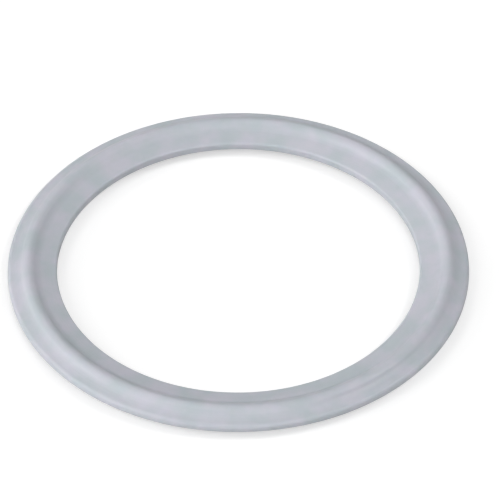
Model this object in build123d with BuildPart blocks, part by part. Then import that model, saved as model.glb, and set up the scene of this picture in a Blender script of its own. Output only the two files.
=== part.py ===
"""Sanitary clamp gasket for 3 inch tube, moulded in one piece in white silicone rubber.

The ring lies flat. Its origin is the centre of the bore on the mid-plane, and +Z is the axis of the
tube that it seals. Both faces are the same: a web that thins towards the bore, a round bead that
seats in the ferrule's groove, and a narrow land that falls to the rim. All sizes are in millimetres.
"""

from build123d import *
import math
import os

os.makedirs("parts", exist_ok=True)

# Driving dimensions: the ring
outer_diameter = 91.0  # same as the ferrule's flange
bore_diameter = 71.5  # a little under the bore of a 3 inch tube
bead_circle_diameter = 82.8  # the circle of the ferrule's groove
overall_thickness = 5.0  # crest to crest, before the clamp is closed

# Driving dimensions: the section
bore_thickness = 1.7  # web between its two faces, carried on to the bore wall
web_taper = 8.0  # degrees, each face
rim_thickness = 1.75  # land between its two faces, carried on to the rim wall
land_taper = 6.0  # degrees, each face
inner_crest_radius = 1.85  # the bead on the bore's side of its crest
outer_crest_radius = 1.55  # and on the rim's side
inner_foot_radius = 2.4  # hollow where the web rises into the bead
outer_foot_radius = 2.8  # hollow where the bead falls to the land
bore_edge_chamfer = 0.3
rim_edge_chamfer = 0.5

bore_radius = bore_diameter / 2
rim_radius = outer_diameter / 2
bead_radius = bead_circle_diameter / 2
crest = Vector(bead_radius, overall_thickness / 2)
up_the_web = Vector(1, math.tan(math.radians(web_taper)))
up_the_land = Vector(-1, math.tan(math.radians(land_taper)))


def corners_between(sketch, inner_radius, outer_radius):
    """The sharp corners of the section that stand between two radii."""
    return sketch.vertices().filter_by_position(Axis.X, inner_radius, outer_radius)


def quarter_circle(radius, start_angle):
    """Guide for one side of a bead, with its highest point at the crest. It adds nothing itself."""
    return CenterArc(crest - Vector(0, radius), radius, start_angle, 90, mode=Mode.PRIVATE)


with BuildPart() as clamp_gasket:
    with BuildSketch(Plane.XZ) as section:
        with BuildLine() as outline:
            # From the bore up the tapered web to the bead, and from the rim up the land
            bore_wall = Line((bore_radius, 0), (bore_radius, bore_thickness / 2))
            web = IntersectingLine(bore_wall @ 1, up_the_web, quarter_circle(inner_crest_radius, 90))
            rim_wall = Line((rim_radius, 0), (rim_radius, rim_thickness / 2))
            land = IntersectingLine(rim_wall @ 1, up_the_land, quarter_circle(outer_crest_radius, 0))

            # The bead: one arc up to the crest and one down from it, then the same on the other face
            RadiusArc(web @ 1, crest, inner_crest_radius)
            RadiusArc(crest, land @ 1, outer_crest_radius)
            mirror(about=Plane.XZ)
        make_face()

        # Hollow feet on both sides of the beads
        fillet(corners_between(section, bore_radius + 1, bead_radius - 0.1), inner_foot_radius)
        fillet(corners_between(section, bead_radius + 0.1, rim_radius - 1), outer_foot_radius)

        # Edges broken at the bore and at the rim
        chamfer(corners_between(section, bore_radius - 0.1, bore_radius + 0.1), bore_edge_chamfer)
        chamfer(corners_between(section, rim_radius - 0.1, rim_radius + 0.1), rim_edge_chamfer)
    revolve(axis=Axis.Z)

clamp_gasket.part.label = "clamp_gasket"
export_step(clamp_gasket.part, "parts/clamp_gasket.step")

bore_face = clamp_gasket.faces().filter_by(GeomType.CYLINDER).sort_by(SortBy.RADIUS)[0]
rim_face = clamp_gasket.faces().filter_by(GeomType.CYLINDER).sort_by(SortBy.RADIUS)[-1]
print("volume", round(clamp_gasket.part.volume, 1), "mm3")
print("thickness", round(clamp_gasket.part.bounding_box().size.Z, 3), "mm over the beads")
print("straight bore wall", round(bore_face.bounding_box().size.Z, 3), "mm long")
print("straight rim wall", round(rim_face.bounding_box().size.Z, 3), "mm long")
print("faces", len(clamp_gasket.faces()))
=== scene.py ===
# %% [markdown]
# # A clamp gasket in white silicone rubber
#
# A sanitary clamp joint holds two tube ends face to face, and this ring is the seal between them. It
# is moulded in one piece, so there is nothing to assemble here. The lesson is in its section, in a
# soft rubber that lets a little light in, and in a light that shows a shape only 5 mm high.

# %% Load the measured model
import bpy
import math
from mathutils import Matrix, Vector


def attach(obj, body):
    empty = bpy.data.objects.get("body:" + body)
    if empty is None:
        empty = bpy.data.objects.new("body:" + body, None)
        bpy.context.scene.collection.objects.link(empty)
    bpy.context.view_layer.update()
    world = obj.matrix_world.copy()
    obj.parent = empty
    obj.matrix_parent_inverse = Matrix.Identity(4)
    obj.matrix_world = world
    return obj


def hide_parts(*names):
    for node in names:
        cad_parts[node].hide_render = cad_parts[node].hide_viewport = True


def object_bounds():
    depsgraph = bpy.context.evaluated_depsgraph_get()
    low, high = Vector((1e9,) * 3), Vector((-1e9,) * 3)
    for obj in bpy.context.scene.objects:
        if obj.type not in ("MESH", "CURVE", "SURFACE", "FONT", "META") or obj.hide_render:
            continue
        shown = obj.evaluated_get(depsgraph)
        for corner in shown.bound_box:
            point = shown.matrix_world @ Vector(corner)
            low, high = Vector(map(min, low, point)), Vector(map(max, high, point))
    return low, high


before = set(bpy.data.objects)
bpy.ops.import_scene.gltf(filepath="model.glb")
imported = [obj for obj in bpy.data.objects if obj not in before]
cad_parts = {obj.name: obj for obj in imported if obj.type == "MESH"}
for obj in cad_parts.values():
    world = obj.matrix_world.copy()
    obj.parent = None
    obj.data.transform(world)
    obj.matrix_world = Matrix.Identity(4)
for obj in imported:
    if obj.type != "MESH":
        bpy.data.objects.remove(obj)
cad_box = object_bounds()
millimetre = 0.001
floor_height = cad_box[0].z
print("CAD model, mm:", [round(side / millimetre, 2) for side in cad_box[1] - cad_box[0]])

# %% [markdown]
# ## The section of the ring
#
# Cut the real ring across and you find a thin web, a round bead on each face and a narrow land at the
# rim. The web gets thinner towards the bore, and a hollow foot leads from the web up into the bead.
# The CAD node is already that shape, but in flat facets and with its small edges cut straight. A low,
# soft light would show those facets as streaks, so the ring is drawn again here from the same sizes,
# with many more steps and with rounded edges.

# %% Sizes of the section
outer_diameter = 91.0 * millimetre
bore_diameter = 71.5 * millimetre
bead_circle_diameter = 82.8 * millimetre
overall_thickness = 5.0 * millimetre
bore_thickness = 1.7 * millimetre
web_taper = math.radians(8.0)
rim_thickness = 1.75 * millimetre
land_taper = math.radians(6.0)
inner_crest_radius = 1.85 * millimetre
outer_crest_radius = 1.55 * millimetre
inner_foot_radius = 2.4 * millimetre
outer_foot_radius = 2.8 * millimetre
bore_edge_radius = 0.5 * millimetre  # round where the CAD node has a straight cut
rim_edge_radius = 0.8 * millimetre

bead_radius = bead_circle_diameter / 2
print("ring, mm wide:", round((outer_diameter - bore_diameter) / 2 / millimetre, 2))

# %% [markdown]
# ## The parting line
#
# The two halves of the mould meet on the mid-plane. A hair's breadth of rubber creeps in between them
# and leaves a fine ridge round the rim and round the bore. It could be painted on as a bump, but at the
# rim it is seen from the side, against the floor, so it is a real ridge here. It is only a fiftieth of
# a millimetre high, because a clamp gasket is trimmed before it is sold. Its tip stands at the measured
# diameter, and the wall beside it lies back by the ridge's height.

# %% Parting line
ridge_height = 0.02 * millimetre
ridge_width = 0.2 * millimetre
bore_radius = bore_diameter / 2 + ridge_height
rim_radius = outer_diameter / 2 - ridge_height
print("walls at a radius of, mm:", round(bore_radius / millimetre, 2), round(rim_radius / millimetre, 2))


def ridge(wall_radius, outwards, from_top):
    """Three points of the ridge on a wall, for an outline that runs on downwards or upwards.

    outwards is 1 at the rim and -1 at the bore. from_top is 1 where the outline comes down the wall
    and -1 where it goes up.
    """
    start = (wall_radius, from_top * ridge_width / 2)
    tip = (wall_radius + outwards * ridge_height, 0.0)
    end = (wall_radius, -from_top * ridge_width / 2)
    return [start, tip, end]


# %% [markdown]
# ## Arcs that touch without a corner
#
# A mould is cut with round tools, so every line of the section runs into the next one smoothly. A
# hollow foot touches a straight face on one side and the round bead on the other, and a rounded edge
# touches a face and an upright wall. The centre of each arc follows from that, and so do the angles
# where it starts and ends, so nothing has to be placed by eye.
#
# Both helpers are written for the bore's side. The rim's side is the same drawing seen in a mirror:
# its distances are counted inwards from the rim.


# %% Helpers for arcs
arc_step = math.radians(4)


def arc(centre, radius, start, end):
    """Points of an arc from one angle to another, both ends included, as (across, height)."""
    count = max(2, math.ceil(abs(end - start) / arc_step))
    angles = [start + (end - start) * i / count for i in range(count + 1)]
    return [(centre[0] + radius * math.cos(a), centre[1] + radius * math.sin(a)) for a in angles]


def rising_side(width, half_thickness, taper, edge_radius, foot_radius, crest_radius):
    """Points from an upright wall over the rounded edge, up the face and the foot to the crest.

    Distances across are counted from the wall, and the crest stands width away from it.
    """
    slope = math.tan(taper)
    edge_height = half_thickness + edge_radius * (slope - 1 / math.cos(taper))
    crest_centre = (width, overall_thickness / 2 - crest_radius)

    # The foot's centre lies foot_radius above the face, and both radii away from the crest's centre,
    # which gives a square equation for its distance across
    lift = half_thickness + foot_radius / math.cos(taper) - crest_centre[1]
    reach = crest_radius + foot_radius
    a = 1 + slope ** 2
    b = lift * slope - width
    c = width ** 2 + lift ** 2 - reach ** 2
    foot_across = (-b - math.sqrt(b ** 2 - a * c)) / a
    foot_centre = (foot_across, crest_centre[1] + lift + slope * foot_across)
    touch = math.atan2(foot_centre[1] - crest_centre[1], foot_centre[0] - crest_centre[0])

    return (
        arc((edge_radius, edge_height), edge_radius, math.pi, math.pi / 2 + taper)
        + arc(foot_centre, foot_radius, taper - math.pi / 2, touch - math.pi)
        + arc(crest_centre, crest_radius, touch, math.pi / 2)[1:]
    )


# %% Half of the section, from the bore to the rim
bore_side = rising_side(
    bead_radius - bore_radius, bore_thickness / 2, web_taper,
    bore_edge_radius, inner_foot_radius, inner_crest_radius,
)
rim_side = rising_side(
    rim_radius - bead_radius, rim_thickness / 2, land_taper,
    rim_edge_radius, outer_foot_radius, outer_crest_radius,
)
upper_half = [(bore_radius + across, z) for across, z in bore_side]
upper_half += [(rim_radius - across, z) for across, z in reversed(rim_side[:-1])]
print("points in half a section:", len(upper_half))
print("crest at, mm:", round(max(z for _, z in upper_half) / millimetre, 3))

# %% [markdown]
# ## Turning the section into a ring
#
# A lathe or a Screw modifier would both turn this outline into a ring. Writing the mesh directly
# gives even quads and a closed solid with no seam, which light that travels inside the rubber needs.
# All corners are round, so the whole ring can be shaded smooth.

# %% The ring
steps_around = 512
lower_half = [(radius, -height) for radius, height in reversed(upper_half)]
section = upper_half + ridge(rim_radius, 1, 1) + lower_half + ridge(bore_radius, -1, -1)
section_points = len(section)

points = []
quads = []
for turn in range(steps_around):
    angle = math.tau * turn / steps_around
    next_turn = (turn + 1) % steps_around
    for step, (radius, height) in enumerate(section):
        next_step = (step + 1) % section_points
        points.append((radius * math.cos(angle), radius * math.sin(angle), height))
        quads.append((
            turn * section_points + step,
            turn * section_points + next_step,
            next_turn * section_points + next_step,
            next_turn * section_points + step,
        ))

ring_mesh = bpy.data.meshes.new("silicone_ring")
ring_mesh.from_pydata(points, [], quads)
ring_mesh.validate()
ring_mesh.shade_smooth()
ring = bpy.data.objects.new("silicone_ring", ring_mesh)
bpy.context.scene.collection.objects.link(ring)

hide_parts("clamp_gasket")
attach(ring, "root")
print("ring:", section_points, "points in the section,", len(ring_mesh.polygons), "quads")

# %% [markdown]
# ## Moulded silicone rubber
#
# White silicone is filled with a fine white powder, so it looks solid, yet light still goes a few tenths
# of a millimetre into it and comes out beside where it went in. Every crease looks softer for that, so
# the shader gets subsurface scattering and not a paler colour in the creases. The powder isn't spread
# quite evenly, which gives soft patches that lean a little to green or to violet.
#
# The skin is a print of the mould. The mould was turned on a lathe and left satin, so the rubber has
# a broad, weak shine, very fine rings round its axis, and a soft unevenness from curing. Everything is
# made from noise and waves in the ring's own space, so it needs no picture and no unwrapping. A bump
# is enough for marks this shallow: none of them can be seen from the side.


# %% Helpers for materials
def linear(hex_colour):
    """An sRGB colour such as "C0C4CB" as the linear values that a shader takes."""
    values = [int(hex_colour[i:i + 2], 16) / 255 for i in (0, 2, 4)]
    return [v / 12.92 if v <= 0.04045 else ((v + 0.055) / 1.055) ** 2.4 for v in values] + [1.0]


def add_node(tree, kind, settings=None, links=None):
    """Adds a node, sets its properties and sockets, and links its inputs to other nodes' outputs."""
    node = tree.nodes.new(kind)
    for name, value in (settings or {}).items():
        if name in node.inputs:
            node.inputs[name].default_value = value
        else:
            setattr(node, name, value)
    for name, output in (links or {}).items():
        tree.links.new(output, node.inputs[name])
    return node


print("a mid grey of 808080 is", round(linear("808080")[0], 2), "in linear light")

# %% Silicone: where the patterns lie and how coarse they are
silicone = bpy.data.materials.new("moulded white silicone rubber")
silicone.use_nodes = True
tree = silicone.node_tree
shader = tree.nodes["Principled BSDF"]
place = add_node(tree, "ShaderNodeTexCoord")

cloud_size = 4.5 * millimetre  # soft patches where the filler lies thicker
wave_size = 2.2 * millimetre  # slight unevenness of the cured skin
grain_size = 0.45 * millimetre  # really about 0.1 mm, drawn coarser so that it shows
turning_pitch = 0.55 * millimetre  # really about 0.1 mm as well
pattern_sizes = (cloud_size, wave_size, grain_size, turning_pitch)
print("patterns, mm:", [round(size / millimetre, 2) for size in pattern_sizes])

clouds = add_node(
    tree,
    "ShaderNodeTexNoise",
    {"Scale": 1 / cloud_size, "Detail": 3.0},
    {"Vector": place.outputs["Object"]},
)
waves = add_node(
    tree,
    "ShaderNodeTexNoise",
    {"Scale": 1 / wave_size, "Detail": 1.0},
    {"Vector": place.outputs["Object"]},
)
grain = add_node(
    tree,
    "ShaderNodeTexNoise",
    {"Scale": 1 / grain_size, "Detail": 2.0},
    {"Vector": place.outputs["Object"]},
)
turning = add_node(
    tree,
    "ShaderNodeTexWave",
    {
        "wave_type": "RINGS",
        "rings_direction": "Z",
        "Scale": math.tau / 20 / turning_pitch,  # the node takes the sine of 20 times the distance
        "Distortion": 1.5,
        "Detail": 1.0,
    },
    {"Vector": place.outputs["Object"]},
)

# %% Silicone: colour
patches = add_node(
    tree, "ShaderNodeMapRange", {"From Min": 0.35, "From Max": 0.65}, {"Value": clouds.outputs["Fac"]}
)
colour = add_node(
    tree,
    "ShaderNodeMix",
    {"data_type": "RGBA", "A": linear("B8BFC4"), "B": linear("C3C3CC")},
    {"Factor": patches.outputs["Result"]},
)
tree.links.new(colour.outputs["Result"], shader.inputs["Base Color"])
print("the two tints:", [[round(v, 2) for v in colour.inputs[name].default_value[:3]] for name in "AB"])

# %% Silicone: skin
satin = add_node(
    tree, "ShaderNodeMapRange", {"To Min": 0.34, "To Max": 0.46}, {"Value": waves.outputs["Fac"]}
)
tree.links.new(satin.outputs["Result"], shader.inputs["Roughness"])

marks = (
    # name, pattern, depth in mm
    ("uneven skin", waves, 0.02),
    ("turning marks", turning, 0.003),
    ("grain", grain, 0.006),
)
skin = None
for name, pattern, depth in marks:
    below = {"Normal": skin.outputs["Normal"]} if skin else {}
    skin = add_node(
        tree,
        "ShaderNodeBump",
        {"label": name, "Strength": 1.0, "Distance": depth * millimetre},
        {"Height": pattern.outputs["Fac"], **below},
    )
tree.links.new(skin.outputs["Normal"], shader.inputs["Normal"])
print("marks in the skin:", [name for name, _, _ in marks])

# %% Silicone: light inside the rubber
shader.inputs["IOR"].default_value = 1.41  # silicone rubber
shader.inputs["Subsurface Weight"].default_value = 1.0
shader.inputs["Subsurface Radius"].default_value = (1.0, 0.95, 0.9)  # red light gets a little deeper
shader.inputs["Subsurface Scale"].default_value = 0.35 * millimetre
ring_mesh.materials.append(silicone)
print("silicone nodes:", len(tree.nodes))

# %% [markdown]
# ## A white table
#
# The ring lies on studio paper, which shows its soft shadow. White paper would throw so much light up
# at the bore wall and the rim that their lower edges would vanish. So the paper is really light grey,
# and glows up to white only for the camera: that glow lights nothing, and the shadow stays.

# %% Floor
half_floor = 3.0  # metres
corner_signs = ((-1, -1), (1, -1), (1, 1), (-1, 1))
corners = [(half_floor * x, half_floor * y, floor_height) for x, y in corner_signs]
floor_mesh = bpy.data.meshes.new("floor")
floor_mesh.from_pydata(corners, [], [(0, 1, 2, 3)])
floor = bpy.data.objects.new("floor", floor_mesh)
bpy.context.scene.collection.objects.link(floor)
print("floor at, mm:", round(floor_height / millimetre, 2))

# %% Paper
paper = bpy.data.materials.new("light grey studio paper")
paper.use_nodes = True
tree = paper.node_tree
tree.nodes.remove(tree.nodes["Principled BSDF"])
camera_glow = 0.5

ray = add_node(tree, "ShaderNodeLightPath")
only_camera = add_node(
    tree, "ShaderNodeMapRange", {"To Max": camera_glow}, {"Value": ray.outputs["Is Camera Ray"]}
)
glow = add_node(tree, "ShaderNodeEmission", {}, {"Strength": only_camera.outputs["Result"]})
matt = add_node(tree, "ShaderNodeBsdfDiffuse", {"Color": linear("C8C8C8")})
both = add_node(tree, "ShaderNodeAddShader", {}, {0: matt.outputs["BSDF"], 1: glow.outputs["Emission"]})
tree.links.new(both.outputs["Shader"], tree.nodes["Material Output"].inputs["Surface"])
floor_mesh.materials.append(paper)
print("paper nodes:", len(tree.nodes))

# %% [markdown]
# ## Soft light from far away
#
# The ring is so flat that an even light would show nothing but a grey band. The shape comes from a
# broad low light at the near left, which catches the left flank of the bead and leaves the right flank
# in soft shade. The rest comes from above, from the near side and from the right. The room itself
# gives next to no light, but the camera sees it white, so that a low view has no dark sky behind the
# paper's far edge.
#
# A sun lamp with a wide angle acts as a softbox that stands far off: its light is the same all over
# the table, so the floor stays even. A sun's strength of pi lights white paper to just white when it
# stands straight over it, so the strengths are given here as parts of that. All the lamps are plain
# white and set in round steps, so the colour that you see is the rubber's own.

# %% World
world = bpy.data.worlds.new("studio")
bpy.context.scene.world = world
world.use_nodes = True
tree = world.node_tree
room_light = 0.02
ray = add_node(tree, "ShaderNodeLightPath")
seen = add_node(
    tree,
    "ShaderNodeMapRange",
    {"To Min": room_light, "To Max": 1.0},
    {"Value": ray.outputs["Is Camera Ray"]},
)
sky = tree.nodes["Background"]
sky.inputs["Color"].default_value = linear("FFFFFF")
tree.links.new(seen.outputs["Result"], sky.inputs["Strength"])
print("light from the room itself:", room_light)

# %% Lamps
softboxes = (
    # name, degrees round from the right, degrees up, part of full light
    ("low near left", 210, 10, 0.35),
    ("low far left", 150, 10, 0.15),
    ("low near side", 270, 10, 0.20),
    ("left", 180, 30, 0.20),
    ("high near left", 210, 50, 0.20),
    ("high near side", 290, 50, 0.25),
    ("high right", 0, 50, 0.30),
    ("high far side", 110, 50, 0.10),
    ("overhead", 0, 90, 0.10),
)
lamp_angle = 24  # degrees across, as seen from the table

for name, round_angle, height_angle, part in softboxes:
    lamp = bpy.data.lights.new(name, "SUN")
    lamp.angle = math.radians(lamp_angle)
    lamp.energy = math.pi * part
    holder = bpy.data.objects.new(name, lamp)
    bpy.context.scene.collection.objects.link(holder)
    holder.rotation_euler = (math.radians(90 - height_angle), 0.0, math.radians(round_angle + 90))
on_the_table = [part * math.sin(math.radians(height_angle)) for _, _, height_angle, part in softboxes]
total = sum(on_the_table) + room_light
print("lamps:", len(softboxes), "giving the table", round(total, 2), "of full light")

# %% [markdown]
# ## The camera
#
# The ring is seen from a step back with a long lens, at about 43 degrees above the table. A shorter
# lens from close by would make the near side of the ring look much wider than the far side.

# %% Camera
camera_elevation = math.radians(43.09)
camera_distance = 1.1275  # metres
picture_width = 98.61 * millimetre  # what the picture takes in, from left to right, at the ring
aim_right = 2.31 * millimetre  # the middle of the picture lies beside and above the ring's centre
aim_up = 3.52 * millimetre
roll = math.radians(-0.275)

camera = bpy.data.cameras.new("camera")
camera.lens = camera.sensor_width * camera_distance / picture_width
camera.clip_start = 0.05
viewpoint = bpy.data.objects.new("camera", camera)
bpy.context.scene.collection.objects.link(viewpoint)
bpy.context.scene.camera = viewpoint

towards_camera = Vector((0, -math.cos(camera_elevation), math.sin(camera_elevation)))
picture_up = Vector((0, math.sin(camera_elevation), math.cos(camera_elevation)))
viewpoint.location = towards_camera * camera_distance
target = Vector((aim_right, 0, 0)) + picture_up * aim_up
viewpoint.rotation_euler = (target - viewpoint.location).to_track_quat("-Z", "Y").to_euler()
viewpoint.rotation_euler.rotate_axis("Z", roll)
print("lens, mm:", round(camera.lens), "of a", camera.sensor_width, "mm sensor")

bpy.context.scene.view_settings.view_transform = "Standard"
